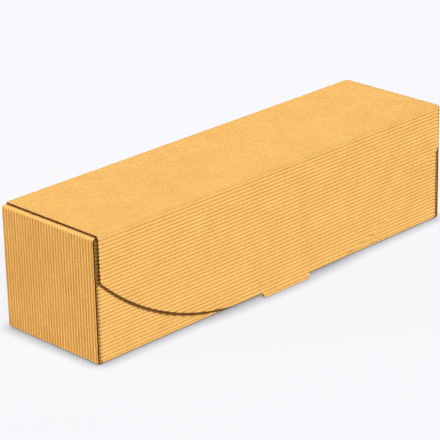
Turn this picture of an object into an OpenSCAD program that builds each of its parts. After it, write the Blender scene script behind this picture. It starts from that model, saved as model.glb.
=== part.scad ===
// Lay-down gift box for one bottle, folded from a single blank of open-flute kraft board.
// The flat liner is inside and the flutes show outside. The ends roll over the dust flaps
// and lock in the bottom, and the lid carries a curved front flap that hangs outside.
// Frame: X along the box, front towards -Y, +Z up, origin on the floor under its middle.
// All sizes are in millimetres.

/* [Box] */
// Length between the two corners where the walls turn into the dust flaps
wall_l = 346; // [200:1:500]
// Width over the front and back walls
box_w = 92; // [60:1:160]
// Height of the closed box
box_h = 92; // [60:1:160]

/* [Board] */
// Thickness over the flutes
board_t = 1.6; // [1.4:0.1:2.4]
// Thickness of the board where a fold has crushed the flutes
fold_t = 1.25; // [0.9:0.05:1.35]
// Thickness of the inner liner
liner_t = 0.3; // [0.2:0.05:0.4]
// Thickness of the fluted paper
flute_paper_t = 0.25; // [0.15:0.05:0.3]
// Distance from one flute to the next
flute_pitch = 2.7; // [2.2:0.1:4.5]

/* [Ends] */
// Air between an outer end panel and the dust flaps behind it
end_air = 0.6; // [0.2:0.1:3]
// How far the outer end panels stop short of the wall faces
end_inset = 0.8; // [0:0.1:3]
// Length of the smooth band at each fold across the flutes
fold_band = 1.6; // [0.6:0.1:4]
// Inside radius of the roll over the dust flaps
roll_r = 1.0; // [0.4:0.1:1.5]
// Length of a dust flap from its wall
dust_l = 38; // [15:1:45]
// How much a dust flap narrows at its top and bottom towards its free edge
dust_taper = 6; // [0:1:15]
// Width of each lock tab under an inner end panel
lock_w = 16; // [8:1:24]
// Distance from the middle of the end to the middle of a lock tab
lock_y = 22; // [16:1:28]
// Clearance between parts of the blank that slide past each other
fit = 0.2; // [0.1:0.05:0.3]

/* [Lid and front flap] */
// Gap left at a fold between two panels that turn on it
fold_gap = 0.2; // [0.1:0.05:0.4]
// How far the lid and the flap stop short of the dust flap corners at each end
lid_inset = 1; // [0:0.1:3]
// Height of the flap's straight lower edge above the floor
flap_clear = 4; // [3:0.1:12]
// Length of the flap's two straight sides, where its curved lower edge begins
flap_side = 33; // [15:1:50]
// Straight stretch in the middle of the flap's lower edge
flap_straight = 75; // [54:1:120]
// How far the lower edge of the untucked flap springs away from the front wall
flap_bow = 4; // [0.5:0.1:8]
// Width of the tuck tab where it leaves the flap
tab_w = 49; // [30:1:52]
// Height of the tuck tab's tip above the floor
tab_air = 0.2; // [0.1:0.1:1]
// How much the tab narrows on each side
tab_taper = 1.7; // [0:0.1:3]
// Radius of the tab's lower corners
tab_corner_r = 1.2; // [0.5:0.1:2]
// Play of the tab in its slot, over the whole width
slot_play = 4; // [1:0.5:6]
// Height of the tab's slot, which lies in the front wall just above the bottom
slot_open = 2.6; // [2:0.1:4]

/* [Hidden] */
kraft = [0.93, 0.71, 0.40];
tiny = 0.01;

valley_t = liner_t + flute_paper_t;
fine_steps = 8;
plain_steps = 4;
fold_steps = 4;

half_l = wall_l / 2;
half_w = box_w / 2;
// Top of everything that the lid lies on
rim_z = box_h - board_t - fit;

end_in_x = half_l + end_air;
roll_in_x = half_l - board_t - fit;
roll_under_z = rim_z - fold_t;
end_half_w = half_w - end_inset;
inner_half_w = half_w - board_t - 2 * fit;
rib_low_z = board_t + fold_band;
// Height at which the flutes of the end panels stop and the roll begins
rib_high_z = roll_under_z - roll_r;
inner_low_z = board_t + fit;

// Axis of the fold between the lid and the front flap
flap_axis_y = -half_w - fit - board_t;
lid_l = wall_l - 2 * lid_inset;
flap_drop = box_h - flap_clear;
tab_l = flap_clear - tab_air;
// The flap bends away from the wall on one arc, whose centre lies in front of the box
bow_r = (pow(flap_drop, 2) + pow(flap_bow, 2)) / (2 * flap_bow);
// Straight facets that make the arc of the flap's liner
bow_facets = 8;

// Points of one row of flutes along s, with heights from 0 in a valley to 1 on a crest
function wave_height(phase, steps) = (1 - cos(phase) / cos(180 / steps)) / 2;
function flutes(length, count, steps) = [
    for (i = [0 : count * steps - 1])
        let (s = (i + 0.5) / (count * steps))
        [length * s, wave_height(360 * s * count, steps)]
];
function flute_count(length) = max(1, round(length / flute_pitch));
function crest_depth(h) = valley_t + (board_t - valley_t) * h;
function arc_points(centre, r, from, to) = [
    for (i = [0 : fold_steps])
        let (a = from + (to - from) * i / fold_steps)
        centre + r * [cos(a), sin(a)]
];

// Outer edge of a panel's section: along runs from its start, out is its outward normal
function panel_edge(start, along, out, length, steps, count) = [
    start + out * valley_t,
    for (p = flutes(length, count, steps))
        start + along * p[0] + out * crest_depth(p[1]),
    start + along * length + out * valley_t
];

// Section of the walls and the bottom, seen along the box
module wall_section() {
    inner_y = half_w - board_t;
    wall_run = rim_z - board_t;
    back_fold = [inner_y, box_h - board_t];
    back_run = box_h - 2 * board_t;
    // An odd number of flutes puts a crest on the middle of the bottom, at the origin
    bottom_count = 2 * floor(inner_y / flute_pitch) + 1;
    front = panel_edge([-inner_y, rim_z], [0, -1], [-1, 0], wall_run, fine_steps,
                       flute_count(wall_run));
    bottom = panel_edge([-inner_y, board_t], [1, 0], [0, -1], 2 * inner_y, plain_steps,
                        bottom_count);
    back = panel_edge([inner_y, board_t], [0, 1], [1, 0], back_run, fine_steps,
                      flute_count(back_run));
    polygon(concat(
        [[-inner_y, rim_z]],
        front,
        arc_points([-inner_y, board_t], fold_t, 180, 270),
        bottom,
        arc_points([inner_y, board_t], fold_t, -90, 0),
        back,
        arc_points(back_fold, fold_t, 0, 90),
        [back_fold, [inner_y, board_t], [-inner_y, board_t]]
    ));
}

// Ribbed panel standing on edge: its flat face lies at x = 0 and its flutes face -X
module ribbed_upright(half_width, low, high, steps) {
    width = 2 * half_width;
    edge = panel_edge([0, -half_width], [0, 1], [-1, 0], width, steps, flute_count(width));
    translate([0, 0, low])
        linear_extrude(high - low)
            polygon(concat([[0, half_width], [0, -half_width]], edge));
}

// Extrudes a section drawn in Y and Z along the box, over its middle
module along_box(length) {
    translate([-length / 2, 0, 0])
        rotate([90, 0, 90])
            linear_extrude(length)
                children();
}

// Turns a section drawn in X and Z into a strip across the box
module across_box(half_width) {
    translate([0, half_width, 0])
        rotate([90, 0, 0])
            linear_extrude(2 * half_width)
                children();
}

// Fold from the bottom panel up into an outer end panel, at the left end
module end_foot() {
    across_box(end_half_w)
        polygon(concat(
            [[-half_l + fold_band, board_t - fold_t]],
            [[-half_l + fold_band, board_t]],
            [[-end_in_x, board_t], [-end_in_x, rib_low_z]],
            [[-end_in_x - fold_t, rib_low_z]],
            arc_points([-end_in_x, board_t], fold_t, 180, 270)
        ));
}

// Roll over the dust flaps, from the outer end panel to the inner one, at the left end
module end_roll() {
    outer_bend = [-end_in_x + roll_r, rib_high_z];
    inner_bend = [-roll_in_x - roll_r, rib_high_z];
    across_box(inner_half_w)
        polygon(concat(
            arc_points(outer_bend, roll_r + fold_t, 180, 90),
            arc_points(inner_bend, roll_r + fold_t, 90, 0),
            arc_points(inner_bend, roll_r, 0, 90),
            arc_points(outer_bend, roll_r, 90, 180)
        ));
}

// Shoulders of the outer end panel beside the narrower roll
module end_shoulder() {
    outer_bend = [-end_in_x + roll_r, rib_high_z];
    across_box(end_half_w)
        polygon(concat(
            arc_points(outer_bend, roll_r + fold_t, 180, 90),
            arc_points(outer_bend, roll_r, 90, 180)
        ));
}

module lock_tabs() {
    for (side = [-1, 1])
        translate([-roll_in_x, side * lock_y - lock_w / 2, board_t - fold_t])
            cube([fold_t, lock_w, inner_low_z + fold_band - board_t + fold_t]);
}

module lock_slots() {
    for (side = [-1, 1])
        translate([-roll_in_x - fit, side * lock_y - lock_w / 2 - fit, -tiny])
            cube([fold_t + 2 * fit, lock_w + 2 * fit, board_t + 2 * tiny]);
}

// Dust flap of the front wall at the left end, with the fold that carries it
module dust_flap() {
    inner_x = half_l - board_t;
    inner_y = half_w - board_t;
    low = board_t + fit;
    high = roll_under_z - fit;
    translate([0, 0, low])
        linear_extrude(high - low)
            polygon(concat(
                [[-half_l + fold_band, -inner_y], [-inner_x, -inner_y]],
                arc_points([-inner_x, -inner_y], fold_t, 180, 270),
                [[-half_l + fold_band, -inner_y - fold_t]]
            ));
    translate([-inner_x, 0, 0])
        rotate([90, 0, -90])
            linear_extrude(fold_t)
                polygon([
                    [inner_y, low], [inner_y, high],
                    [half_w - dust_l, high - dust_taper], [half_w - dust_l, low + dust_taper]
                ]);
}

module left_end() {
    end_foot();
    translate([-end_in_x, 0, 0])
        ribbed_upright(end_half_w, rib_low_z, rib_high_z, fine_steps);
    end_roll();
    end_shoulder();
    translate([-roll_in_x, 0, 0])
        mirror([1, 0, 0])
            ribbed_upright(inner_half_w, inner_low_z, rib_high_z, plain_steps);
    lock_tabs();
    dust_flap();
    mirror([0, 1, 0]) dust_flap();
}

module walls_and_bottom() {
    along_box(2 * (half_l - fold_band))
        wall_section();
}

// Slot in the front wall, on the bottom fold, that takes the tuck tab
module tab_slot() {
    slot_w = tab_w + slot_play;
    translate([-slot_w / 2, -half_w - tiny, board_t])
        cube([slot_w, board_t + 2 * tiny, slot_open]);
}

module tray() {
    color(kraft)
        union() {
            difference() {
                walls_and_bottom();
                lock_slots();
                mirror([1, 0, 0]) lock_slots();
                tab_slot();
            }
            left_end();
            mirror([1, 0, 0]) left_end();
        }
}

// Open channel between the liner and one flute, with s = 0 under its crest
function channel(pitch) = concat(
    [[-0.36 * pitch, liner_t]],
    [for (phase = [90 : 45 : 270])
        [(phase / 360 - 0.5) * pitch,
         crest_depth(wave_height(phase, fine_steps)) - flute_paper_t]],
    [[0.36 * pitch, liner_t]]
);

// Section of a panel whose flutes are open at its cut edges. place turns a distance along the
// liner and a height above it into a point, facets is the number of straight stretches of the
// liner, and lead holds the points of a fold before the panel.
module open_panel_section(place, count, pitch, facets, lead = []) {
    run = count * pitch;
    difference() {
        polygon(concat(
            [for (i = [facets : -1 : 0]) place(run * i / facets, 0)],
            lead,
            [place(0, valley_t)],
            [for (p = flutes(run, count, fine_steps)) place(p[0], crest_depth(p[1]))],
            [place(run, valley_t)]
        ));
        for (i = [0 : count - 1])
            polygon([for (p = channel(pitch)) place((i + 0.5) * pitch + p[0], p[1])]);
    }
}

module lid() {
    front_y = flap_axis_y + board_t;
    run = half_w - board_t - fold_gap - front_y;
    count = flute_count(run);
    fold = [front_y, box_h - board_t];
    color(kraft)
        along_box(lid_l)
            open_panel_section(function (s, h) fold + [s, h], count, run / count, 1,
                               arc_points(fold, fold_t, 180, 90));
}

// Point of the bowed flap in Y and Z, at s down its crests and h out from its liner
function bowed(s, h) =
    let (a = s / bow_r * 180 / PI, r = bow_r + board_t - h)
    [r * cos(a) - bow_r, -r * sin(a)];

// Half of the flap's outline in X and Z, hanging from z = 0
module half_flap_outline() {
    start_x = flap_straight / 2;
    curve_run = lid_l / 2 - start_x;
    rise = flap_drop - flap_side;
    curve_r = (pow(curve_run, 2) + pow(rise, 2)) / (2 * rise);
    translate([-tiny, -flap_drop])
        square([start_x + 2 * tiny, flap_drop]);
    intersection() {
        translate([start_x, -flap_drop])
            square([curve_run, flap_drop]);
        translate([start_x, curve_r - flap_drop])
            circle(curve_r, $fn = 240);
    }
}

// Outline of the tuck tab in X and Z, its root inside the flap's own outline
module tab_outline() {
    root_x = tab_w / 2;
    tip_x = root_x - tab_taper;
    corner = [tip_x - tab_corner_r, tab_corner_r - tab_l];
    translate([0, -flap_drop])
        polygon(concat(
            [[root_x, board_t], [root_x, 0]],
            arc_points(corner, tab_corner_r, 0, -90),
            arc_points([-corner[0], corner[1]], tab_corner_r, -90, -180),
            [[-root_x, 0], [-root_x, board_t]]
        ));
}

// Turns an outline in X and Z into a block that holds the whole depth of the bowed flap
module through_flap() {
    translate([0, board_t + tiny, 0])
        rotate([90, 0, 0])
            linear_extrude(board_t + flap_bow + tab_l)
                children();
}

// Front flap and tuck tab, one bowed sheet. A flute's valley lies on the straight lower edge.
module front_flap() {
    top = board_t + fold_gap;
    edge_s = bow_r * asin(flap_drop / bow_r) * PI / 180;
    count = flute_count(edge_s - top);
    pitch = (edge_s - top) / count;
    tab_count = ceil(tab_l / pitch) + 1;
    color(kraft)
        translate([0, flap_axis_y, box_h])
            intersection() {
                along_box(lid_l)
                    open_panel_section(function (s, h) bowed(top + s, h), count + tab_count,
                                       pitch, bow_facets);
                union() {
                    through_flap() half_flap_outline();
                    mirror([1, 0, 0]) through_flap() half_flap_outline();
                    through_flap() tab_outline();
                }
            }
}

tray();
lid();
front_flap();
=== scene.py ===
"""Lay-down gift box of open-flute kraft board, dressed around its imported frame.

The box is one folded sheet: a flat liner inside and a fluted paper outside. Each panel here is
a walk along the liner's face, carried straight along the third direction, with the height of
the board standing out of it. Lengths are in metres. X runs along the box, its front is towards
-Y, +Z is up, and the origin lies on the floor under its middle.
"""
import logging
from collections.abc import Callable
from dataclasses import dataclass, field
from enum import Enum
from typing import NamedTuple

import bpy
import numpy as np
from mathutils import Matrix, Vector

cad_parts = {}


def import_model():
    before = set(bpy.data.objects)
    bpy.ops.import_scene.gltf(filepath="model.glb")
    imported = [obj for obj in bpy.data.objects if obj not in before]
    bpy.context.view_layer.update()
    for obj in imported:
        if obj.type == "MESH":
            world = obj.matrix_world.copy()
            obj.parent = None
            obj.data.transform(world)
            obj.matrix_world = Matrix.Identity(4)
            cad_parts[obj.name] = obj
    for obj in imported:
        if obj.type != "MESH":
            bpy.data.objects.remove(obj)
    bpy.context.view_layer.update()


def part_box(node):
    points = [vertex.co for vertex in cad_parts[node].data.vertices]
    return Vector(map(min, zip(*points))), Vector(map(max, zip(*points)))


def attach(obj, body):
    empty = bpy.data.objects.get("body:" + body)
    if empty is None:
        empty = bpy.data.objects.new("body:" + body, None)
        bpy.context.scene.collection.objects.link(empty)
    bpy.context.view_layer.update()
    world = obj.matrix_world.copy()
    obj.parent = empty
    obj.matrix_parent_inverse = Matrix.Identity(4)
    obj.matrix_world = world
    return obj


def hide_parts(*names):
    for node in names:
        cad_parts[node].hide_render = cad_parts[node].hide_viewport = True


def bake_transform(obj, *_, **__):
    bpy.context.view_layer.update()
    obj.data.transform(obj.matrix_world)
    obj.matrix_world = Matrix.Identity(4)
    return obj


log = logging.getLogger("gift_box")
SLOT = "kraft_board"
PAINTED_SHADING = "painted_shading"
# Name of the per-corner attribute of painted shading: 1 where no shade is painted, lower where
# painted shade darkens the paper.
TINY = 1e-6
Array = np.ndarray
Value = bpy.types.NodeSocket | float | tuple[float, float, float]
X_AXIS, Y_AXIS, Z_AXIS = np.eye(3)


def ease(value: Array | float, start: float, end: float) -> Array:
    """Rise smoothly from 0 to 1 between two values: 3 u squared less 2 u cubed.

    Args:
        value: where to look.
        start: value at which the rise starts.
        end: value at which it ends, which may lie below start.

    Returns:
        The height of the rise, from 0 to 1.
    """
    share = np.clip((np.asarray(value, float) - start) / (end - start), 0.0, 1.0)
    return share * share * (3.0 - 2.0 * share)


def middles(values: Array) -> Array:
    """Give the middles between neighbouring values."""
    return (values[1:] + values[:-1]) / 2


@dataclass(frozen=True)
class Squeeze:
    """What is left of the flutes where the board is pressed.

    valley and crest are heights above the liner's inner face. flat is 0 where a rib keeps its
    round shape and 1 where it becomes a plateau.
    """

    valley: float
    crest: float
    flat: float


class Pressed(Enum):
    """Ways in which making and folding the box presses its board.

    CUT is the lower edge of an inner end panel, OPEN_CUT the flap's cut edge, LOOSE_CUT the
    lid's, CORNER a corner that crosses the flutes and FOLD a fold that crosses them.
    """

    CUT = Squeeze(0.00048, 0.00092, 1.0)
    OPEN_CUT = Squeeze(0.00057, 0.00152, 0.2)
    LOOSE_CUT = Squeeze(0.00108, 0.00148, 0.6)
    CORNER = Squeeze(0.00064, 0.00146, 0.2)
    FOLD = Squeeze(0.00114, 0.00125, 1.0)


@dataclass(frozen=True)
class Board:
    """Single-face open-flute board: a liner with one fluted paper on its outer face.

    crest is its whole thickness and fold its thickness in a fold. liner and paper are the
    thicknesses of the two papers, pitch is the width of a flute, bend the inner radius of a
    fold and play the air between parts that move past each other. steps is the number of
    stations on a flute, crowding how much they are drawn towards its valleys, and slices how
    finely its shape is worked out. face is the share of the paper that lies outside its wave,
    rise the share of a fold over which it leaves the valley beside it, and unevenness the share
    by which the ribs differ.
    """

    crest: float = 0.0016
    fold: float = 0.00125
    liner: float = 0.0003
    paper: float = 0.00025
    pitch: float = 0.0027
    bend: float = 0.0003
    play: float = 0.0002
    steps: int = 12
    slices: int = 360
    crowding: float = 0.2
    face: float = 0.5
    rise: float = 0.3
    unevenness: float = 0.02

    @property
    def valley(self) -> float:
        """Height of the fluted paper's outer face where it is glued to the liner."""
        return self.liner + self.paper

    def flutes(self, length: float) -> int:
        """Count the whole flutes that fit best on a length."""
        return max(1, round(length / self.pitch))

    def wave(self, flutes: int, start: float = 0.0) -> tuple[Array, Array]:
        """Spread stations over a run of flutes, with the rib that each stands on.

        The paper's middle follows half of 1 less the cosine of the turns. Its outer face lies a
        share of the paper beside it along its normal, which makes crests broad and valleys
        narrow. The turns are drawn towards the valleys by a sine, so stations stand closer there.

        Args:
            flutes: number of flutes.
            start: 0 where the run starts in a valley, 0.5 where it starts on a crest.

        Returns:
            The shares of the run, and for each 0 in a valley to 1 on a crest.
        """
        turns = start + flutes * np.linspace(0.0, 1.0, flutes * self.steps + 1)
        turns -= self.crowding * np.sin(2.0 * np.pi * turns) / (2.0 * np.pi)
        depth = self.crest - self.valley
        fine = np.linspace(0.0, 1.0, self.slices + 1)
        slope = depth * np.pi / self.pitch * np.sin(2.0 * np.pi * fine)
        length = np.sqrt(1.0 + slope * slope)
        beside = self.face * self.paper
        place = fine - beside * slope / length / self.pitch
        rib = 0.5 - 0.5 * np.cos(2.0 * np.pi * fine) + beside * (1.0 / length - 1.0) / depth
        return (turns - start) / flutes, np.interp(turns % 1.0, place, rib)

    def height(self, rib: Array, pressing: Array | float, how: Pressed) -> Array:
        """Work out the height of the outer face above the liner's inner face.

        The height is the valley's plus the rib's share of the way to the crest. Pressing moves
        the valley, the crest and the rib's shape towards what is left of them, where a flat
        rib is 1 less the cube of what it lacks.

        Args:
            rib: 0 in a valley to 1 on a crest.
            pressing: 0 where the board is whole to 1 where it is pressed.
            how: what presses it.

        Returns:
            The heights, of the shape that rib and pressing make together.
        """
        left = how.value
        low = self.valley + (left.valley - self.valley) * pressing
        high = self.crest + (left.crest - self.crest) * pressing
        flat = left.flat * np.asarray(pressing)
        shape = rib * (1.0 - flat) + (1.0 - (1.0 - rib) ** 3) * flat
        return low + (high - low) * shape


class Stations(NamedTuple):
    """Stations of a walk, as arrays with one row for each.

    ribs are 0 in a valley and 1 on a crest, creases are 1 on a fold that runs along the flutes,
    and reaches are the lengths walked so far.
    """

    points: Array
    headings: Array
    outwards: Array
    ribs: Array
    creases: Array
    reaches: Array


@dataclass
class Walk:
    """A walk along the liner's face of a folded sheet, kept as the stretches walked so far."""

    board: Board
    place: Array
    heading: Array
    outward: Array
    stretches: list[Stations] = field(default_factory=list)
    reach: float = 0.0

    def add(self, stretch: Stations) -> "Walk":
        """Append a stretch, leaving out its first station where that repeats the last one.

        Args:
            stretch: its stations, with reaches that start at 0.

        Returns:
            The walk itself.
        """
        skip = 1 if self.stretches else 0
        stretch = stretch._replace(reaches=self.reach + stretch.reaches)
        self.stretches.append(Stations(*(part[skip:] for part in stretch)))
        self.place, self.heading = stretch.points[-1], stretch.headings[-1]
        self.outward, self.reach = stretch.outwards[-1], stretch.reaches[-1]
        return self

    def run(self, length: float, stations: int = 1, flutes: int = 0) -> "Walk":
        """Walk straight on.

        With flutes, the run starts and ends in a valley.

        Args:
            length: length of the run.
            stations: number of steps where the run has no flutes across it.
            flutes: number of flutes that the run crosses.

        Returns:
            The walk itself.
        """
        if flutes:
            share, rib = self.board.wave(flutes)
        else:
            share, rib = np.linspace(0.0, 1.0, stations + 1), np.zeros(stations + 1)
        points = self.place + np.outer(share * length, self.heading)
        same = np.ones((len(share), 1))
        return self.add(Stations(points, same * self.heading, same * self.outward, rib,
                                 0.0 * share, share * length))

    def bend(self, degrees: float, radius: float, stations: int = 10) -> "Walk":
        """Walk round a fold towards the liner's side, on an arc about a centre inside it.

        Args:
            degrees: how far the sheet turns.
            radius: radius of the liner's inner face.
            stations: number of steps.

        Returns:
            The walk itself.
        """
        centre = self.place - self.outward * radius
        share = np.linspace(0.0, 1.0, stations + 1)
        angle = np.radians(degrees) * share[:, None]
        outwards = np.cos(angle) * self.outward + np.sin(angle) * self.heading
        headings = np.cos(angle) * self.heading - np.sin(angle) * self.outward
        crease = ease(share, 0.0, self.board.rise) * ease(share, 1.0, 1.0 - self.board.rise)
        walked = share * np.radians(degrees) * (radius + self.board.fold)
        return self.add(Stations(centre + radius * outwards, headings, outwards, 0.0 * share,
                                 crease, walked))

    def bow(self, length: float, radius: float, flutes: int) -> "Walk":
        """Walk along a sheet that bends away from its liner's side, across its flutes.

        The stations lie on an arc about a centre on the outer side. The length is measured on
        the crests, which lie closer to that centre than the liner by the board's thickness.

        Args:
            length: length along the crests.
            radius: radius of the crests' arc.
            flutes: number of flutes that the run crosses.

        Returns:
            The walk itself.
        """
        liner_radius = radius + self.board.crest
        centre = self.place + self.outward * liner_radius
        share, rib = self.board.wave(flutes)
        angle = (share * length / radius)[:, None]
        outwards = np.cos(angle) * self.outward - np.sin(angle) * self.heading
        headings = np.cos(angle) * self.heading + np.sin(angle) * self.outward
        return self.add(Stations(centre - liner_radius * outwards, headings, outwards, rib,
                                 0.0 * share, share * length))

    def stations(self) -> Stations:
        """Give the stations of the whole walk."""
        return Stations(*(np.concatenate(parts) for parts in zip(*self.stretches)))


@dataclass(frozen=True)
class Waviness:
    """Smooth small irregularity of real board: a sum of slow sine waves, seeded."""

    seed: int
    amount: float
    waves: int = 14
    shortest: float = 0.006
    longest: float = 0.12

    def at(self, first: Array, second: Array) -> Array:
        """Add up sines whose directions, lengths and phases are drawn from the seed.

        Args:
            first: distances in one direction.
            second: distances in the other, of a shape that goes with first.

        Returns:
            Values of about -1 to 1 times the amount.
        """
        draw = np.random.default_rng(self.seed)
        total = 0.0
        for length in np.geomspace(self.shortest, self.longest, self.waves):
            turn, phase = draw.uniform(0.0, 2.0 * np.pi, 2)
            along = first * np.cos(turn) + second * np.sin(turn)
            total = total + np.sin(2.0 * np.pi * along / length + phase)
        return self.amount * total / np.sqrt(self.waves)


@dataclass(frozen=True)
class Border:
    """Columns of a panel that stand closer together towards its two edges.

    count is the number of steps on each half, edge the share of the half that is spread evenly
    over them, and power how fast the rest shrinks towards the edge.
    """

    count: int
    edge: float = 0.012
    power: float = 2.2

    def shares(self) -> Array:
        """Spread the columns as shares of half the panel's width.

        With s the step from 0 to 1, a column lies edge times s plus the rest times s to the
        power away from its edge.

        Returns:
            Shares from -1 to 1 in rising order, 0 among them.
        """
        step = np.linspace(0.0, 1.0, self.count + 1)
        near = self.edge * step + (1.0 - self.edge) * step ** self.power
        return np.concatenate([near - 1.0, (1.0 - near[::-1])[1:]])


class PaintedShading(Enum):
    """Painted shading of the board, 1 where no shade is painted: its open face, painted shade
    inside its flutes, and its cut edges.

    HOLLOW is painted shade in the hollows of the flutes. PAINTED_SHADOW_CUT is painted shade of a
    cut edge whose flutes stand open, and of the shadowed gap beside it, as along the two ends of
    the lid. CUT is partly the darker end-on fibres of a cut and partly painted shade of the open
    flutes between its papers.
    """

    OPEN = 1.0
    HOLLOW = 0.0
    PAINTED_SHADOW_CUT = 0.12
    CUT = 0.45


class Mesh:
    """Closed shells that make up one piece."""

    def __init__(self) -> None:
        """Start with no shell."""
        self.vertices: list[Array] = []
        self.faces: list[Array] = []
        self.painted_shadings: list[Array] = []
        self.count = 0

    def add(self, vertices: Array, faces: Array, painted_shadings: Array) -> None:
        """Add one shell and renumber its faces.

        Args:
            vertices: its points, one a row.
            faces: its quads, as numbers of these points.
            painted_shadings: the painted shading of each corner of each quad, 1 where no shade is
                painted.
        """
        self.vertices.append(vertices)
        self.faces.append(faces + self.count)
        self.painted_shadings.append(painted_shadings)
        self.count += len(vertices)

    def shell(self, outer: Array, inner: Array, keep: Array | None, painted_shading: Array | PaintedShading,
              back: PaintedShading = PaintedShading.OPEN, rim: PaintedShading = PaintedShading.CUT) -> None:
        """Close the space between two grids of points into one shell.

        A cell lies between a row and the next and between a column and the next. The outer face
        is the kept cells in order, the inner face the same cells turned round, and a strip
        joins the two wherever a kept cell meets one that isn't kept or the grid's own border.

        Args:
            outer: points of the outer face, rows by columns by 3.
            inner: points of the inner face, of the same shape.
            keep: which cells are there, or None for all of them.
            painted_shading: painted shading of the outer face, one for all or one for each of its
                points.
            back: painted shading of the inner face.
            rim: painted shading of the strips between the two faces.
        """
        rows, columns = outer.shape[:2]
        if keep is None:
            keep = np.ones((rows - 1, columns - 1), bool)
        number = np.arange(rows * columns).reshape(rows, columns)
        below = number + rows * columns
        row, column = np.nonzero(keep)
        corners = (number[row, column], number[row + 1, column],
                   number[row + 1, column + 1], number[row, column + 1])
        faces = [np.column_stack(corners), np.column_stack(corners[::-1]) + rows * columns]
        front = painted_shading.value if isinstance(painted_shading, PaintedShading) else painted_shading
        front = np.broadcast_to(front, (rows, columns)).ravel()
        painted_shadings = [front[faces[0]], np.full(faces[1].shape, back.value)]
        padded = np.pad(keep, 1)
        inside = padded[1:-1, 1:-1]
        sides = (
            (inside & ~padded[:-2, 1:-1], (0, 0), (0, 1)),
            (inside & ~padded[2:, 1:-1], (1, 1), (1, 0)),
            (inside & ~padded[1:-1, :-2], (1, 0), (0, 0)),
            (inside & ~padded[1:-1, 2:], (0, 1), (1, 1)),
        )
        for missing, first, second in sides:
            row, column = np.nonzero(missing)
            start = (row + first[0], column + first[1])
            end = (row + second[0], column + second[1])
            faces.append(np.column_stack([number[start], number[end], below[end], below[start]]))
            painted_shadings.append(np.full(faces[-1].shape, rim.value))
        faces, painted_shadings = np.concatenate(faces), np.concatenate(painted_shadings)
        vertices = np.concatenate([outer.reshape(-1, 3), inner.reshape(-1, 3)])
        across = np.cross(outer[1, 0] - outer[0, 0], outer[0, 1] - outer[0, 0])
        if np.dot(across, outer[0, 0] - inner[0, 0]) < 0.0:
            faces, painted_shadings = faces[:, ::-1], painted_shadings[:, ::-1]
        used, faces = np.unique(faces, return_inverse=True)
        self.add(vertices[used], faces.reshape(painted_shadings.shape), painted_shadings)

    def mirrored(self, axis: int) -> "Mesh":
        """Give a copy reflected across the plane through the origin that the axis crosses.

        Args:
            axis: 0, 1 or 2 for X, Y or Z.

        Returns:
            The copy, its faces turned round so that they point outwards again.
        """
        twin = Mesh()
        factor = np.ones(3)
        factor[axis] = -1.0
        vertices = np.concatenate(self.vertices) * factor
        twin.add(vertices, np.concatenate(self.faces)[:, ::-1],
                 np.concatenate(self.painted_shadings)[:, ::-1])
        return twin


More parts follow.
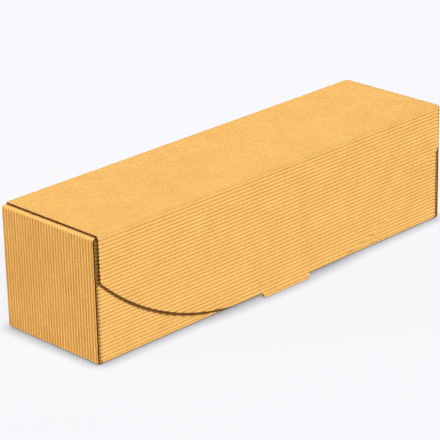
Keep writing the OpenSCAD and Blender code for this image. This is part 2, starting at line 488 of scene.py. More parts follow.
@dataclass(frozen=True)
class Sheet:
    """One stretch of the folded board: a walk carried straight across itself.

    columns are the distances across and axis is their direction. seed gives the unevenness, and
    painted_shade is the share of its lightness taken away in a valley as painted shade.
    """

    board: Board
    walk: Walk
    axis: Array
    columns: Array
    seed: int
    # Painted shade: the share of lightness painted away in the valleys of the ribs.
    painted_shade: float = 0.02

    def surface(self, heights: Array, shift: Array | float = 0.0,
                columns: Array | None = None) -> Array:
        """Place a grid of points on the sheet.

        A point is the walk's station plus the column's distance along the axis, plus the
        height along the outward normal and the shift along the heading.

        Args:
            heights: heights above the liner's inner face, rows by columns.
            shift: distances along the heading, of the same shape.
            columns: distances across, rows by columns, where they differ from row to row.

        Returns:
            The points, rows by columns by 3.
        """
        at = self.walk.stations()
        across = np.broadcast_to(self.columns if columns is None else columns, heights.shape)
        shift = np.broadcast_to(shift, heights.shape)
        return (at.points[:, None] + across[..., None] * self.axis
                + heights[..., None] * at.outwards[:, None]
                + shift[..., None] * at.headings[:, None])

    def creased(self, heights: Array) -> Array:
        """Raise the folds of the walk out of the valleys beside them.

        Args:
            heights: heights without the folds.

        Returns:
            The heights moved towards the thickness of a fold by the walk's crease.
        """
        crease = self.walk.stations().creases[:, None]
        return heights + (self.board.fold - heights) * crease

    def uneven(self, heights: Array, times: float = 1.0) -> Array:
        """Let the heights wander a little, by a share of how far they rise above a valley.

        Args:
            heights: even heights.
            times: how many times the board's own unevenness it is.

        Returns:
            The uneven heights.
        """
        reach = self.walk.stations().reaches[:, None]
        waviness = Waviness(self.seed, times * self.board.unevenness)
        wander = waviness.at(reach, self.columns[None, :])
        return heights + (heights - self.board.valley) * wander

    def painted_shading(self, heights: Array) -> Array:
        """Work out the painted shading of the outer face: none on a crest, painted shade in a
        valley.

        With u how far a place lies below a fold's thickness, over what a fold rises above a
        valley, the painted shading is the open paper's less painted_shade times u.

        Args:
            heights: heights of the outer face.

        Returns:
            The painted shadings.
        """
        board = self.board
        sunk = np.clip((board.fold - heights) / (board.fold - board.valley), 0.0, 1.0)
        return PaintedShading.OPEN.value - self.painted_shade * sunk

    def solid(self, mesh: Mesh, heights: Array, keep: Array | None = None,
              columns: Array | None = None) -> None:
        """Add the stretch as one shell from the liner's inner face to the given heights.

        Args:
            mesh: mesh that takes the shell.
            heights: heights of its outer face.
            keep: which cells are there, or None for all of them.
            columns: distances across, where they differ from row to row.
        """
        mesh.shell(self.surface(heights, columns=columns),
                   self.surface(0.0 * heights, columns=columns), keep, self.painted_shading(heights))

    def open_flutes(self, mesh: Mesh, heights: Array, keep: Array | None = None,
                    columns: Array | None = None, along: bool = False,
                    rim: PaintedShading = PaintedShading.CUT) -> None:
        """Add the stretch as a liner and a separate fluted paper, open at its cut edges.

        The paper's inner face lies one paper's thickness below its outer face, along the normal
        of the wave: with slope m it is shifted by m and sunk by 1, both over the length of
        the vector (m, 1).

        Args:
            mesh: mesh that takes the two shells.
            heights: heights of the fluted paper's outer face.
            keep: which cells are there, or None for all of them.
            columns: distances across, where they differ from row to row.
            along: whether the walk follows the flutes instead of crossing them.
            rim: painted shading of the cut edges.
        """
        board = self.board
        if along:
            slope = np.gradient(heights, self.columns, axis=1)
        else:
            slope = np.gradient(heights, self.walk.stations().reaches, axis=0)
        length = np.sqrt(1.0 + slope * slope)
        sunk = np.maximum(heights - board.paper / length, board.liner)
        shift = board.paper * slope / length
        if along:
            inner = self.surface(sunk, columns=self.columns + shift)
        else:
            inner = self.surface(sunk, shift, columns)
        # The paper's inner face gets painted shade, as the hollow of the flutes.
        mesh.shell(self.surface(heights, columns=columns), inner, keep, self.painted_shading(heights),
                   PaintedShading.HOLLOW, rim)
        # The liner's faces get painted shade too, as the hollow of the flutes.
        liner = np.full(heights.shape, board.liner)
        mesh.shell(self.surface(liner, columns=columns),
                   self.surface(0.0 * liner, columns=columns), keep, PaintedShading.HOLLOW, rim=rim)


@dataclass(frozen=True)
class BoxSizes:
    """Main planes of the box, read from the frame, and the sizes that its boxes don't give.

    half_width is the crests of the two walls, end_x the crests of the outer end panels and
    lid_half the lid's cut edge. end_air lies between a dust flap and the outer end panel, and
    end_inset is how much narrower than the walls that panel is. The dust flaps, the lock tabs
    and the slot that takes the tuck tab have their sizes here too.
    """

    board: Board
    half_width: float
    height: float
    end_x: float
    lid_half: float
    end_air: float = 0.0006
    end_inset: float = 0.0008
    roll_radius: float = 0.0010
    dust_length: float = 0.038
    dust_taper: float = 0.006
    dust_root: float = 0.001
    lock_width: float = 0.016
    lock_y: float = 0.022
    slot_width: float = 0.053
    slot_height: float = 0.0026

    @classmethod
    def read(cls, board: Board) -> "BoxSizes":
        """Read the main planes from the boxes of the tray and the lid."""
        tray_high, lid_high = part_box("tray")[1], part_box("lid")[1]
        return cls(board, tray_high.y, lid_high.z, tray_high.x, lid_high.x)

    @property
    def half_length(self) -> float:
        """Distance from the middle to the corner of the walls and the dust flaps."""
        return self.end_x - self.board.crest - self.end_air

    @property
    def inner_x(self) -> float:
        """Inner faces of the dust flaps."""
        return self.half_length - self.board.crest

    @property
    def inner_y(self) -> float:
        """Inner faces of the front and back walls."""
        return self.half_width - self.board.crest

    @property
    def lid_z(self) -> float:
        """Inner face of the lid."""
        return self.height - self.board.crest

    @property
    def rim_z(self) -> float:
        """Top of the front wall and of the end rolls."""
        return self.lid_z - self.board.play

    @property
    def dust_top(self) -> float:
        """Top of the dust flaps at their root, under the end rolls."""
        return self.rim_z - self.board.fold - self.board.play

    @property
    def straight_x(self) -> float:
        """End of the walls' flat stretch, where the bend into the dust flaps starts."""
        return self.inner_x - self.board.bend


class Piece:
    """A finished mesh object of the kraft board."""

    def __init__(self, name: str, mesh: Mesh, material: bpy.types.Material,
                 crease_angle: float = 42.0) -> None:
        """Make the object, smooth-shaded apart from its sharp edges.

        Args:
            name: name of the piece.
            mesh: its shells.
            material: its finish.
            crease_angle: angle in degrees above which an edge is sharp.
        """
        vertices = np.concatenate(mesh.vertices)
        faces = np.concatenate(mesh.faces)
        data = bpy.data.meshes.new(name)
        data.vertices.add(len(vertices))
        data.vertices.foreach_set("co", vertices.ravel())
        data.loops.add(faces.size)
        data.loops.foreach_set("vertex_index", faces.ravel().astype(np.int32))
        data.polygons.add(len(faces))
        starts = np.arange(0, faces.size, faces.shape[1], dtype=np.int32)
        data.polygons.foreach_set("loop_start", starts)
        data.update(calc_edges=True)
        # Each corner's painted shading: how much painted shade the material mixes into the paper
        # there.
        painted_shading = data.attributes.new(PAINTED_SHADING, "FLOAT", "CORNER")
        painted_shading.data.foreach_set("value", np.concatenate(mesh.painted_shadings).ravel().astype(np.float32))
        data.shade_smooth()
        data.set_sharp_from_angle(angle=np.radians(crease_angle))
        data.materials.append(material)
        self.object = bpy.data.objects.new(name, data)
        bpy.context.scene.collection.objects.link(self.object)
        log.info("%s: %d faces", name, len(faces))

    def ride(self, body: str) -> None:
        """Let the piece move with a body and stand for the node of the same name."""
        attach(self.object, body)
        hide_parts(body)

    def bend(self, first: str, second: str, start: Array, end: Array) -> None:
        """Bake the piece's place into its mesh, and stand for the first body's node.

        Args:
            first: body whose node the piece stands for.
            second: not used.
            start: not used.
            end: not used.
        """
        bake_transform(self.object, first, second, start=tuple(start), end=tuple(end))
        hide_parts(first)


@dataclass(frozen=True)
class Tray:
    """Bottom, walls, dust flaps and rolled ends of the box.

    The lengths ending in press are those over which a fold or a cut presses the ribs beside it,
    and those ending in flat are where they are pressed whole. roll_press and foot_press say the
    same of the roll and of the foot of an outer end panel, by how far up or down the board has
    turned. run_margin, roll_run and tip_run are stretches of the end panels that have rows of
    their own beside the folds.
    """

    sizes: BoxSizes
    material: bpy.types.Material
    wall_border: Border = Border(18, power=2.6)
    corner_press: float = 0.0020
    corner_lap: float = 0.0012
    bottom_press: float = 0.0032
    bottom_flat: float = 0.0010
    roll_press: float = 0.35
    foot_press: float = 0.85
    inner_press: float = 0.0028
    inner_flat: float = 0.00064
    tab_lap: float = 0.0016
    tip_press: float = 0.0014
    tip_flat: float = 0.0002
    run_margin: float = 0.002
    roll_run: float = 0.005
    tip_run: float = 0.003
    plate_steps: int = 12
    tab_steps: int = 8
    # Painted shade in the valleys of the outer end panels' ribs.
    end_painted_shade: float = 0.14
    seed: int = 11

    def build(self) -> None:
        """Build every piece of the tray and let it ride on the tray's body."""
        self.front_wall()
        self.back_wall()
        self.bottom()
        self.ends()

    def finish(self, name: str, mesh: Mesh) -> None:
        """Make a piece of the tray from its shells."""
        Piece(name, mesh, self.material).ride("tray")

    def wall_columns(self, *extra: float) -> Array:
        """Spread the columns of a wall along X, closer at its corners, with extra ones."""
        columns = self.sizes.straight_x * self.wall_border.shares()
        return np.unique(np.concatenate([columns, extra]))

    def wall_heights(self, sheet: Sheet) -> Array:
        """Work out a wall's heights: ribs that the corners at its ends have half pressed.

        Args:
            sheet: the wall's stretch of board.

        Returns:
            The heights, rows by columns, with the folds of its walk raised.
        """
        board = self.sizes.board
        end = self.sizes.straight_x
        rib = sheet.walk.stations().ribs[:, None]
        pressing = ease(np.abs(sheet.columns), end - self.corner_press, end)[None, :]
        return sheet.creased(sheet.uneven(board.height(rib, pressing, Pressed.CORNER)))

    def sides(self, mesh: Mesh, wall: Sheet, wall_side: int) -> None:
        """Add a wall's two corners with their dust flaps.

        Args:
            mesh: mesh that takes the shells.
            wall: the wall's stretch of board.
            wall_side: 1 on the back wall and -1 on the front wall.
        """
        for side in (-1, 1):
            self.corner(mesh, wall, side)
            self.dust_flap(mesh, side, wall_side)

    def corner(self, mesh: Mesh, wall: Sheet, side: int) -> None:
        """Add the bend of a wall into its dust flap, with the wall's own half-pressed ribs.

        The walk goes round the corner and the columns are the wall's stations up its height.

        Args:
            mesh: mesh that takes the shell.
            wall: the wall's stretch of board.
            side: 1 at the right end and -1 at the left.
        """
        sizes, board = self.sizes, self.sizes.board
        at = wall.walk.stations()
        height = at.points[:, 2]
        beside = ((at.creases == 0.0) & (height > board.crest + board.play)
                  & (height < sizes.dust_top))
        start = np.array([side * sizes.straight_x, at.points[beside][0, 1], 0.0])
        walk = Walk(board, start, side * X_AXIS, at.outwards[beside][0])
        walk.bend(90.0, board.bend).run(self.corner_lap)
        bend = Sheet(board, walk, Z_AXIS, height[beside], wall.seed)
        ribbed = board.height(at.ribs[beside][None, :], 1.0, Pressed.CORNER)
        across = side * (sizes.straight_x + walk.stations().reaches[:, None])
        waviness = Waviness(wall.seed, board.unevenness)
        wander = waviness.at(at.reaches[beside][None, :], across)
        bend.solid(mesh, ribbed + (ribbed - board.valley) * wander)

    def dust_flap(self, mesh: Mesh, side: int, wall_side: int) -> None:
        """Add a dust flap: a smooth plate that narrows towards its free edge.

        Args:
            mesh: mesh that takes the shell.
            side: 1 at the right end and -1 at the left.
            wall_side: 1 on the back wall and -1 on the front wall.
        """
        sizes, board = self.sizes, self.sizes.board
        low = board.crest + board.play
        start_y = sizes.inner_y - board.bend - sizes.dust_root
        length = start_y - (sizes.half_width - sizes.dust_length)
        walk = Walk(board, np.array([side * sizes.inner_x, wall_side * start_y, 0.0]),
                    -wall_side * Y_AXIS, side * X_AXIS).run(length, stations=6)
        share = np.linspace(0.0, 1.0, self.plate_steps + 1)[None, :]
        taper = sizes.dust_taper * walk.stations().reaches[:, None] / length
        columns = (low + taper) * (1.0 - share) + (sizes.dust_top - taper) * share
        flap = Sheet(board, walk, Z_AXIS, share[0], self.seed)
        flap.solid(mesh, np.full(columns.shape, board.fold), columns=columns)

    def front_wall(self) -> None:
        """Build the front wall with its bottom fold, the tuck tab's slot and its corners."""
        sizes, board = self.sizes, self.sizes.board
        run = sizes.rim_z - board.crest - board.bend
        walk = Walk(board, np.array([0.0, -sizes.inner_y, sizes.rim_z]), -Z_AXIS, -Y_AXIS)
        walk.run(run, flutes=board.flutes(run)).bend(90.0, board.bend)
        slot_half = sizes.slot_width / 2
        columns = self.wall_columns(-slot_half, slot_half)
        wall = Sheet(board, walk, X_AXIS, columns, self.seed)
        middle_z = middles(walk.stations().points[:, 2])[:, None]
        in_slot = ((middle_z < board.crest + sizes.slot_height)
                   & (middle_z > board.crest + board.bend)
                   & (np.abs(middles(columns)) < slot_half))
        mesh = Mesh()
        wall.solid(mesh, self.wall_heights(wall), ~in_slot)
        self.sides(mesh, wall, -1)
        self.finish("front_wall", mesh)

    def back_wall(self) -> None:
        """Build the back wall with its bottom fold and its corners."""
        sizes, board = self.sizes, self.sizes.board
        start = np.array([0.0, sizes.inner_y - board.bend, board.crest])
        run = sizes.lid_z - board.crest - 2 * board.bend
        walk = Walk(board, start, Y_AXIS, -Z_AXIS)
        walk.bend(90.0, board.bend).run(run, flutes=board.flutes(run))
        wall = Sheet(board, walk, X_AXIS, self.wall_columns(), self.seed + 1)
        mesh = Mesh()
        wall.solid(mesh, self.wall_heights(wall))
        self.sides(mesh, wall, 1)
        self.finish("back_wall", mesh)

    def bottom(self) -> None:
        """Build the bottom with the four slots that take the lock tabs.

        Its flutes are an odd number, so one crest lies under the middle, and no crest stands
        out past the board's thickness, so the box rests on the floor.
        """
        sizes, board = self.sizes, self.sizes.board
        half = sizes.inner_y - board.bend
        walk = Walk(board, np.array([0.0, -half, board.crest]), Y_AXIS, -Z_AXIS)
        walk.run(2 * half, flutes=2 * int(sizes.inner_y / board.pitch) + 1)
        slot_far = sizes.half_length - board.crest
        slot_near = slot_far - board.fold - 2 * board.play
        columns = self.wall_columns(-slot_near, slot_near)
        floor = Sheet(board, walk, X_AXIS, columns, self.seed + 2)
        rib = walk.stations().ribs[:, None]
        end = sizes.straight_x
        pressing = ease(np.abs(columns), end - self.bottom_press, end - self.bottom_flat)
        heights = floor.uneven(board.height(rib, pressing[None, :], Pressed.FOLD))
        middle_y = middles(walk.stations().points[:, 1])[:, None]
        from_tab = np.abs(np.abs(middle_y) - sizes.lock_y)
        in_slot = ((from_tab < sizes.lock_width / 2 + board.play)
                   & (np.abs(middles(columns)) > slot_near))
        mesh = Mesh()
        floor.solid(mesh, np.minimum(heights, board.crest), ~in_slot)
        self.finish("bottom", mesh)

    def end_ribs(self, half: float, start: float) -> tuple[Array, Array]:
        """Spread the columns of an end across Y, with the rib that each stands on.

        Args:
            half: half the width of the end's panel.
            start: 0 where its cut edges run down valleys, 0.5 where they run down crests.

        Returns:
            The columns and their ribs.
        """
        board = self.sizes.board
        share, rib = board.wave(board.flutes(2 * half), start)
        return half * (2.0 * share - 1.0), rib

    def outer_end(self, mesh: Mesh) -> None:
        """Add the right outer end panel with its foot, and the outer half of its roll.

        Args:
            mesh: mesh that takes the shells.
        """
        sizes, board = self.sizes, self.sizes.board
        panel_x = sizes.end_x - board.crest
        bend_z = sizes.rim_z - board.fold - sizes.roll_radius
        walk = Walk(board, np.array([sizes.straight_x, 0.0, board.crest]), X_AXIS, -Z_AXIS)
        walk.run(panel_x - board.bend - sizes.straight_x, stations=3).bend(90.0, board.bend)
        plain = bend_z - board.crest - board.bend - 2 * self.run_margin
        walk.run(self.run_margin, stations=6).run(plain, stations=10)
        walk.run(self.run_margin, stations=6).bend(90.0, sizes.roll_radius, stations=14)
        columns, rib = self.end_ribs(sizes.half_width - sizes.end_inset, 0.5)
        # The outer end panel gets its own, stronger painted shade in its valleys.
        panel = Sheet(board, walk, Y_AXIS, columns, self.seed + 3, self.end_painted_shade)
        turned = walk.stations().outwards[:, 2]
        pressing = ease(turned, self.roll_press, 1.0) + ease(-turned, 0.0, self.foot_press)
        heights = board.height(rib[None, :], pressing[:, None], Pressed.FOLD)
        panel.open_flutes(mesh, panel.uneven(heights), along=True)

    def inner_end(self, mesh: Mesh) -> None:
        """Add the rest of the right roll, the inner end panel and its two lock tabs.

        Args:
            mesh: mesh that takes the shells.
        """
        sizes, board = self.sizes, self.sizes.board
        panel_x = sizes.end_x - board.crest
        inner_x = sizes.inner_x - board.play
        roll_z = sizes.rim_z - board.fold
        radius = sizes.roll_radius
        start = np.array([panel_x - radius, 0.0, roll_z])
        low = board.crest + board.play
        plain = roll_z - radius - low - self.roll_run - self.tip_run
        walk = Walk(board, start, -X_AXIS, Z_AXIS)
        walk.run(panel_x - inner_x - 2 * radius).bend(90.0, radius)
        walk.run(self.roll_run, stations=10).run(plain, stations=8).run(self.tip_run, stations=8)
        columns, rib = self.end_ribs(sizes.inner_y - 2 * board.play, 0.0)
        panel = Sheet(board, walk, Y_AXIS, columns, self.seed + 4)
        points = walk.stations().points
        below_roll = roll_z - radius - points[:, 2]
        folded = 1.0 - ease(below_roll, self.inner_flat, self.inner_press)
        folded = np.where(points[:, 0] > inner_x + TINY, 1.0, folded)
        heights = board.height(rib[None, :], folded[:, None], Pressed.FOLD)
        cut = 1.0 - ease(points[:, 2] - low, self.tip_flat, self.tip_press)[:, None]
        pressed = board.height(rib[None, :], 1.0, Pressed.CUT)
        panel.solid(mesh, panel.uneven(heights + (pressed - heights) * cut))
        start = np.array([inner_x, 0.0, low + self.tab_lap])
        length = start[2] - board.crest + board.fold
        for side in (-1, 1):
            walk = Walk(board, start, -Z_AXIS, -X_AXIS).run(length, stations=4)
            share = np.linspace(-0.5, 0.5, self.tab_steps + 1)
            across = side * sizes.lock_y + sizes.lock_width * share
            heights = np.full((len(walk.stations().points), len(across)), board.fold)
            Sheet(board, walk, Y_AXIS, across, self.seed).solid(mesh, heights)

    def ends(self) -> None:
        """Build both rolled ends, the left one as the mirror image of the right one."""
        for part, add in (("end_panel", self.outer_end), ("end_roll", self.inner_end)):
            right = Mesh()
            add(right)
            self.finish(f"right_{part}", right)
            self.finish(f"left_{part}", right.mirrored(0))


@dataclass(frozen=True)
class Crease:
    """A crease along the flutes: a rounded nose whose two laps lie inside the board.

    fold is the point where the inner faces beside it would meet. The sheet comes to it along
    heading with its outer face to outward, and leaves it with these two turned by 90 degrees.
    half is half its length, and it is coarse times as uneven as the board.
    """

    board: Board
    fold: Array
    heading: Array
    outward: Array
    half: float
    seed: int
    lap: float = 0.0005
    columns: Border = Border(14)
    coarse: float = 2.0

    def build(self, name: str, material: bpy.types.Material, first: str, second: str) -> None:
        """Build the crease as a piece that stands for the first body's node.

        Args:
            name: name of the piece.
            material: its finish.
            first: body on which the sheet comes to the fold.
            second: body on which it leaves it.
        """
        board = self.board
        start = self.fold - (board.bend + self.lap) * self.heading
        walk = Walk(board, start, self.heading, self.outward).run(self.lap, stations=2)
        walk.bend(90.0, board.bend, stations=14).run(self.lap, stations=2)
        strip = Sheet(board, walk, X_AXIS, self.half * self.columns.shares(), self.seed)
        inside = (board.liner + board.valley) / 2
        heights = np.full((len(walk.stations().points), len(strip.columns)), inside)
        mesh = Mesh()
        strip.solid(mesh, strip.uneven(strip.creased(heights), self.coarse))
        Piece(name, mesh, material).bend(first, second, self.fold + board.fold * self.outward,
                                         self.fold + board.fold * self.heading)


@dataclass(frozen=True)
class Lid:
    """Top panel, cut free at both ends, and the crease that joins it to the back wall.

    The cut has pressed the ribs whole as far as cut_flat, and a little as far as cut_press.
    """

    sizes: BoxSizes
    material: bpy.types.Material
    columns: Border = Border(22)
    cut_flat: float = 0.0003
    cut_press: float = 0.0016
    seed: int = 31

    def build(self) -> None:
        """Build the lid and its back crease."""
        self.panel()
        self.back_crease()

    def panel(self) -> None:
        """Build the panel, whose flutes are open at its two cut edges."""
        sizes, board = self.sizes, self.sizes.board
        front = sizes.half_width + board.play
        run = front + sizes.inner_y - board.play
        walk = Walk(board, np.array([0.0, -front, sizes.lid_z]), Y_AXIS, Z_AXIS)
        walk.run(run, flutes=board.flutes(run))
        columns = sizes.lid_half * self.columns.shares()
        panel = Sheet(board, walk, X_AXIS, columns, self.seed)
        edge = sizes.lid_half - np.abs(columns)
        pressing = 1.0 - ease(edge, self.cut_flat, self.cut_press)[None, :]
        rib = walk.stations().ribs[:, None]
        mesh = Mesh()
        heights = board.height(rib, pressing, Pressed.LOOSE_CUT)
        # The lid's cut ends get painted shade, for their open flutes and the shadowed gap above
        # the roll.
        panel.open_flutes(mesh, panel.uneven(heights), rim=PaintedShading.PAINTED_SHADOW_CUT)
        Piece("lid_panel", mesh, self.material).ride("lid")

    def back_crease(self) -> None:
        """Build the crease between the back wall and the lid."""
        sizes = self.sizes
        fold = np.array([0.0, sizes.inner_y, sizes.lid_z])
        crease = Crease(sizes.board, fold, Z_AXIS, Y_AXIS, sizes.straight_x, self.seed + 1)
        crease.build("back_crease", self.material, "tray", "lid")


@dataclass(frozen=True)
class FrontFlap:
    """Bowed front flap with its curved lower edge, its tuck tab and its crease to the lid.

    clear is the height of its straight lower edge above the floor, straight the length of that
    edge and side the length of the straight sides. bow is how far its foot stands out, and
    tab_air the height of the tab's tip above the floor.
    """

    sizes: BoxSizes
    material: bpy.types.Material
    clear: float = 0.004
    side: float = 0.033
    straight: float = 0.075
    bow: float = 0.004
    tab_width: float = 0.049
    tab_air: float = 0.0002
    tab_taper: float = 0.0017
    tab_corner: float = 0.0012
    columns: Border = Border(22, 0.006, 2.6)
    tab_columns: Border = Border(12, 0.01, 2.0)
    cut_flat: float = 0.0002
    cut_press: float = 0.0016
    seed: int = 51

    @property
    def drop(self) -> float:
        """Height of the flap from the box's top to its straight lower edge."""
        return self.sizes.height - self.clear

    @property
    def bow_radius(self) -> float:
        """Radius of the flap's bow: half the sum of drop squared over bow, and bow."""
        return (self.drop ** 2 / self.bow + self.bow) / 2

    @property
    def curve_radius(self) -> float:
        """Work out the radius of the curved edge, which ends level beside the straight edge.

        Returns:
            Half the sum of its run squared over its rise, and its rise.
        """
        run = self.sizes.lid_half - self.straight / 2
        rise = self.drop - self.side
        return (run ** 2 + rise ** 2) / (2 * rise)

    def build(self) -> None:
        """Build the flap with its tab, and the front crease."""
        self.sheet()
        self.front_crease()

    def start(self, reach: float) -> tuple[Array, Array, Array]:
        """Find where a walk down the flap stands after a length along its crests.

        The crests lie on an arc that starts straight down at the fold's axis, about a centre
        in front of the box.

        Args:
            reach: length along the crests from the axis.

        Returns:
            The point on the liner, the heading and the outward normal.
        """
        board = self.sizes.board
        angle = reach / self.bow_radius
        axis_y = -self.sizes.half_width - board.play - board.crest
        centre = np.array([0.0, axis_y - self.bow_radius, self.sizes.height])
        outward = np.array([0.0, -np.cos(angle), np.sin(angle)])
        heading = np.array([0.0, -np.sin(angle), -np.cos(angle)])
        return centre - outward * (self.bow_radius + board.crest), heading, outward

    def half_at(self, height: Array) -> Array:
        """Work out half the flap's width: the lid's, and below its sides a circle's.

        Args:
            height: heights above the floor.

        Returns:
            Half the width at each height.
        """
        radius = self.curve_radius
        rise = np.clip(height - self.clear, 0.0, self.drop - self.side)
        return self.straight / 2 + np.sqrt(radius ** 2 - (radius - rise) ** 2)

    def from_edge(self, across: Array, height: Array) -> Array:
        """Measure how far points of the flap lie from its cut edge.

        Beyond the straight stretch that is the circle's radius less the distance from its
        centre, and elsewhere the distance to what the tab leaves of the straight stretch.

        Args:
            across: distances along X.
            height: heights above the floor.

        Returns:
            The distances.
        """
        across = np.abs(across)
        radius = self.curve_radius
        out = across - self.straight / 2
        round_edge = radius - np.hypot(out, height - self.clear - radius)
        beside_tab = np.hypot(height - self.clear,
                              np.maximum(self.tab_width / 2 - across, 0.0))
        below = height - self.clear < self.drop - self.side
        lower = np.where(out > 0.0, np.where(below, round_edge, np.inf), beside_tab)
        return np.minimum(lower, self.sizes.lid_half - across)

    def tab_half_at(self, height: Array) -> Array:
        """Work out half the tab's width: a straight taper with a round corner at its tip.

        Args:
            height: heights above the floor.

        Returns:
            Half the width at each height.
        """
        up = np.clip(height - self.tab_air, 0.0, None)
        tip = self.tab_width / 2 - self.tab_taper
        taper = tip + self.tab_taper * up / (self.clear - self.tab_air)
        low = np.clip(self.tab_corner - up, 0.0, None)
        return taper - self.tab_corner + np.sqrt(self.tab_corner ** 2 - low ** 2)

    def sheet(self) -> None:
        """Build the flap and the tab, whose flutes run on in one pitch."""
        board = self.sizes.board
        top = board.crest + board.play
        edge = self.bow_radius * np.arcsin(self.drop / self.bow_radius)
        flutes = board.flutes(edge - top)
        pitch = (edge - top) / flutes
        mesh = Mesh()
        walk = Walk(board, *self.start(top)).bow(edge - top, self.bow_radius, flutes)
        self.ribbed(mesh, walk, self.columns.shares(), self.half_at, self.from_edge)
        tab = Walk(board, *self.start(edge)).bow(2 * pitch, self.bow_radius, 2)
        self.ribbed(mesh, tab, self.tab_columns.shares(), self.tab_half_at,
                    lambda across, height: np.minimum(
                        self.tab_half_at(height) - np.abs(across), height - self.tab_air))
        Piece("flap_sheet", mesh, self.material).ride("front_flap")

    def ribbed(self, mesh: Mesh, walk: Walk, shares: Array, half_at: Callable[[Array], Array],
               from_edge: Callable[[Array, Array], Array]) -> None:
        """Add a stretch of the flap, pressed along its cut edge.

        Args:
            mesh: mesh that takes the shells.
            walk: the walk down the stretch.
            shares: the columns as shares of half the width.
            half_at: gives half the width at a height.
            from_edge: gives the distance from the cut edge at a place and a height.
        """
        board = self.sizes.board
        height = walk.stations().points[:, 2][:, None]
        columns = half_at(height) * shares[None, :]
        part = Sheet(board, walk, X_AXIS, shares * self.sizes.lid_half, self.seed)
        pressing = 1.0 - ease(from_edge(columns, height), self.cut_flat, self.cut_press)
        rib = walk.stations().ribs[:, None]
        there = height[1:] > self.tab_air - TINY
        keep = np.broadcast_to(there, (len(height) - 1, len(shares) - 1))
        heights = board.height(rib, pressing, Pressed.OPEN_CUT)
        part.open_flutes(mesh, part.uneven(heights), keep, columns)

    def front_crease(self) -> None:
        """Build the crease between the lid and the flap."""
        sizes = self.sizes
        fold = np.array([0.0, -sizes.half_width - sizes.board.play, sizes.lid_z])
        crease = Crease(sizes.board, fold, -Y_AXIS, Z_AXIS, sizes.lid_half, self.seed + 1)
        crease.build("front_crease", self.material, "lid", "front_flap")


class Bench:
    """A new material, and the nodes that are added to it one by one."""

    def __init__(self, name: str) -> None:
        """Start with the shader and the output that every new material has.

        Args:
            name: name of the material.
        """
        self.material = bpy.data.materials.new(name)
        self.material.use_nodes = True
        self.shader = self.material.node_tree.nodes["Principled BSDF"]
        self.output = self.material.node_tree.nodes["Material Output"]

    def node(self, kind: str) -> bpy.types.Node:
        """Add a node, whose kind is its Blender name without ShaderNode."""
        return self.material.node_tree.nodes.new("ShaderNode" + kind)

    def put(self, node: bpy.types.Node, inputs: dict[str | int, Value]) -> None:
        """Fill a node's inputs.

        Args:
            node: the node.
            inputs: for each input's name or place, the output to link it to, or the number or
                colour to set it to.
        """
        for key, value in inputs.items():
            socket = node.inputs[key]
            if isinstance(value, bpy.types.NodeSocket):
                self.material.node_tree.links.new(value, socket)
            elif isinstance(value, tuple):
                socket.default_value = (*value, 1.0)
            else:
                socket.default_value = value

    def maths(self, operation: str, *values: Value) -> bpy.types.NodeSocket:
        """Add one step of arithmetic.

        Args:
            operation: Blender's name for the step.
            values: the numbers that go in.

        Returns:
            The output that holds the result.
        """
        node = self.node("Math")
        node.operation = operation
        self.put(node, dict(enumerate(values)))
        return node.outputs[0]

    def mix(self, factor: Value, first: Value, second: Value) -> bpy.types.NodeSocket:
        """Mix two colours.

        Args:
            factor: 0 for the first to 1 for the second.
            first: the first colour.
            second: the second colour.

        Returns:
            The output that holds the mixed colour.
        """
        node = self.node("Mix")
        node.data_type = "RGBA"
        self.put(node, {"Factor": factor, "A": first, "B": second})
        return node.outputs["Result"]


@dataclass(frozen=True)
class Fibres:
    """A noise over the board, of which the range from low to high is spread onto 0 to 1."""

    scale: float
    detail: float
    roughness: float
    low: float
    high: float

    def build(self, bench: Bench, place: bpy.types.NodeSocket) -> bpy.types.NodeSocket:
        """Add the noise to a material.

        Args:
            bench: the material's bench.
            place: the coordinates that it is worked out from.

        Returns:
            The output that holds its strength.
        """
        noise, spread = bench.node("TexNoise"), bench.node("MapRange")
        bench.put(noise, {"Vector": place, "Scale": self.scale, "Detail": self.detail,
                          "Roughness": self.roughness})
        bench.put(spread, {"Value": noise.outputs["Fac"], "From Min": self.low,
                           "From Max": self.high})
        return spread.outputs["Result"]


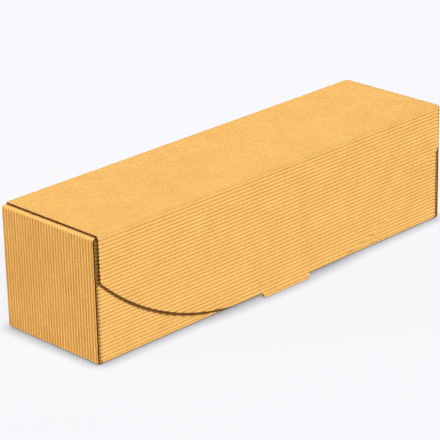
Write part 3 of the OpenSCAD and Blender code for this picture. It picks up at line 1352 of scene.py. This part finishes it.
@dataclass(frozen=True)
class KraftFinish:
    """Finish of the kraft board: yellow-brown paper with fibres, patches and dark flecks.

    The paper lies between dark and light by its patches and its grain, of which the patches have
    a share of patch_share. painted_shade is the colour of the shade painted into its valleys, the
    hollows of its flutes and its cut edges, gloss how much it mirrors, and relief and
    relief_height say how the grain stands out of it.
    """

    light: tuple[float, float, float] = (1.000, 0.640, 0.205)
    dark: tuple[float, float, float] = (0.740, 0.385, 0.090)
    fleck: tuple[float, float, float] = (0.55, 0.28, 0.075)
    # Painted shade: the colour painted into valleys, flute hollows and cut edges.
    painted_shade: tuple[float, float, float] = (0.19, 0.045, 0.004)
    patches: Fibres = Fibres(60.0, 3.0, 0.55, 0.3, 0.7)
    grain: Fibres = Fibres(900.0, 3.0, 0.7, 0.25, 0.75)
    flecks: Fibres = Fibres(900.0, 1.0, 0.5, 0.74, 0.82)
    patch_share: float = 0.2
    roughness: float = 0.85
    gloss: float = 0.25
    relief: float = 0.25
    relief_height: float = 0.0002

    def build(self) -> bpy.types.Material:
        """Make the material from three noises on the object's own coordinates.

        Returns:
            The material.
        """
        bench = Bench(SLOT)
        place = bench.node("TexCoord").outputs["Object"]
        patches = bench.maths("MULTIPLY", self.patches.build(bench, place), self.patch_share)
        grain = self.grain.build(bench, place)
        lightness = bench.maths("MULTIPLY_ADD", grain, 1.0 - self.patch_share, patches)
        paper = bench.mix(lightness, self.dark, self.light)
        speckled = bench.mix(self.flecks.build(bench, place), paper, self.fleck)
        # The painted shading attribute mixes painted shade into the paper's colour.
        painted_shading = bench.node("Attribute")
        painted_shading.attribute_name = PAINTED_SHADING
        bump = bench.node("Bump")
        bench.put(bump, {"Strength": self.relief, "Distance": self.relief_height,
                         "Height": grain})
        bench.put(bench.shader, {
            "Base Color": bench.mix(painted_shading.outputs["Fac"], self.painted_shade, speckled),
            "Roughness": self.roughness, "Specular IOR Level": self.gloss,
            "Normal": bump.outputs["Normal"]})
        return bench.material


def pose_matrix(axes: Array, place: Array) -> Matrix:
    """Make the world matrix of an object.

    Args:
        axes: its own axes as columns.
        place: its place.

    Returns:
        The matrix.
    """
    matrix = Matrix.Identity(4)
    for row in range(3):
        matrix[row][:3] = axes[row].tolist()
        matrix[row][3] = float(place[row])
    return matrix


@dataclass(frozen=True)
class CameraView:
    """Camera of the photograph: its place in metres, its angles in degrees and its lens.

    lens and sensor are in millimetres, and reach is how far it sees, in metres.
    """

    place: tuple[float, float, float] = (-1.0149, -1.0076, 0.6200)
    azimuth: float = -44.802
    elevation: float = 22.125
    roll: float = -1.293
    lens: float = 175.73
    sensor: float = 36.0
    reach: float = 50.0

    def axes(self) -> Array:
        """Work out the camera's own axes.

        The view direction is a unit vector at the azimuth and elevation; right is that vector
        crossed with up, and both are turned about it by the roll.

        Returns:
            A 3 by 3 array whose columns are right, up and backwards.
        """
        azimuth, elevation, roll = np.radians([self.azimuth, self.elevation, self.roll])
        back = np.array([np.sin(azimuth) * np.cos(elevation),
                         -np.cos(azimuth) * np.cos(elevation), np.sin(elevation)])
        right = np.cross(-back, Z_AXIS)
        right /= np.linalg.norm(right)
        up = np.cross(right, -back)
        turned_right = np.cos(roll) * right + np.sin(roll) * up
        turned_up = -np.sin(roll) * right + np.cos(roll) * up
        return np.column_stack([turned_right, turned_up, back])

    def build(self) -> None:
        """Make the camera and set it as the scene's camera."""
        data = bpy.data.cameras.new("photo_camera")
        data.lens = self.lens
        data.sensor_width = self.sensor
        data.clip_end = self.reach
        camera = bpy.data.objects.new("photo_camera", data)
        camera.matrix_world = pose_matrix(self.axes(), np.array(self.place))
        bpy.context.scene.collection.objects.link(camera)
        bpy.context.scene.camera = camera


@dataclass(frozen=True)
class Sun:
    """A soft sun: its strength, how wide it looks in degrees and where it shines from.

    It turns its own -Z axis to the origin.
    """

    name: str
    strength: float
    angle: float
    place: tuple[float, float, float]

    def build(self) -> None:
        """Hang the sun."""
        data = bpy.data.lights.new(self.name, "SUN")
        data.energy = self.strength
        data.angle = np.radians(self.angle)
        lamp = bpy.data.objects.new(self.name, data)
        place = np.array(self.place)
        back = place / np.linalg.norm(place)
        right = np.cross(Z_AXIS, back)
        right /= np.linalg.norm(right)
        lamp.matrix_world = pose_matrix(
            np.column_stack([right, np.cross(back, right), back]), place)
        bpy.context.scene.collection.objects.link(lamp)


@dataclass(frozen=True)
class Studio:
    """Plain pale floor, an even white world, a key sun in front and one sun behind each end.

    floor_own is the share of the white of its own, floor_glow, in what is seen of the floor. As
    far as contact_reach from the box, that white is shaded by a share of contact_share.
    """

    floor_half: float = 12.0
    floor_colour: tuple[float, float, float] = (0.32, 0.32, 0.32)
    floor_roughness: float = 0.9
    floor_glow: tuple[float, float, float] = (1.190, 1.190, 1.235)
    floor_own: float = 0.72
    contact_reach: float = 0.011
    contact_share: float = 0.90
    contact_samples: int = 8
    world_strength: float = 0.11
    suns: tuple[Sun, ...] = (
        Sun("key", 2.88, 6.0, (0.12, -0.80, 0.59)),
        Sun("left", 3.80, 15.0, (-0.82, 0.54, 0.17)),
        Sun("right", 1.80, 40.0, (0.86, 0.48, 0.17)),
    )

    def build(self) -> None:
        """Make the floor, the world and the suns, and keep colours as they are written."""
        bpy.context.scene.view_settings.view_transform = "Standard"
        self.floor()
        self.world()
        for sun in self.suns:
            sun.build()

    def floor(self) -> None:
        """Lay the floor, a square at the height that the box stands on."""
        half = self.floor_half
        mesh = bpy.data.meshes.new("floor")
        mesh.from_pydata([(-half, -half, 0), (half, -half, 0), (half, half, 0), (-half, half, 0)],
                         [], [(0, 1, 2, 3)])
        floor = bpy.data.objects.new("floor", mesh)
        bpy.context.scene.collection.objects.link(floor)
        mesh.materials.append(self.floor_paper())

    def floor_paper(self) -> bpy.types.Material:
        """Make the floor's paper, which is seen partly by a white of its own.

        That white falls off where something stands close to it, as a contact shadow.

        Returns:
            The material.
        """
        bench = Bench("floor_paper")
        bench.put(bench.shader, {"Base Color": self.floor_colour,
                                 "Roughness": self.floor_roughness, "Specular IOR Level": 0.0})
        contact = bench.node("AmbientOcclusion")
        contact.samples = self.contact_samples
        bench.put(contact, {"Distance": self.contact_reach, "Color": self.floor_glow})
        white = bench.mix(self.contact_share, self.floor_glow, contact.outputs["Color"])
        glow = bench.node("Emission")
        bench.put(glow, {"Color": white})
        path = bench.node("LightPath").outputs
        seen = bench.maths("MAXIMUM", path["Is Camera Ray"], path["Is Glossy Ray"])
        seen = bench.maths("MAXIMUM", seen, path["Is Transmission Ray"])
        both = bench.node("MixShader")
        bench.put(both, {"Fac": bench.maths("MULTIPLY", seen, self.floor_own),
                         1: bench.shader.outputs["BSDF"], 2: glow.outputs["Emission"]})
        bench.put(bench.output, {"Surface": both.outputs["Shader"]})
        return bench.material

    def world(self) -> None:
        """Light the scene evenly from all round."""
        world = bpy.data.worlds.new("studio")
        bpy.context.scene.world = world
        world.use_nodes = True
        background = world.node_tree.nodes["Background"]
        background.inputs["Color"].default_value = (1.0, 1.0, 1.0, 1.0)
        background.inputs["Strength"].default_value = self.world_strength


def main() -> None:
    """Build the camera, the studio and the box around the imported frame."""
    logging.basicConfig(level=logging.INFO, format="%(name)s: %(message)s")
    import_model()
    CameraView().build()
    Studio().build()
    sizes = BoxSizes.read(Board())
    kraft = KraftFinish().build()
    Tray(sizes, kraft).build()
    Lid(sizes, kraft).build()
    FrontFlap(sizes, kraft).build()


if __name__ == "__main__":
    main()
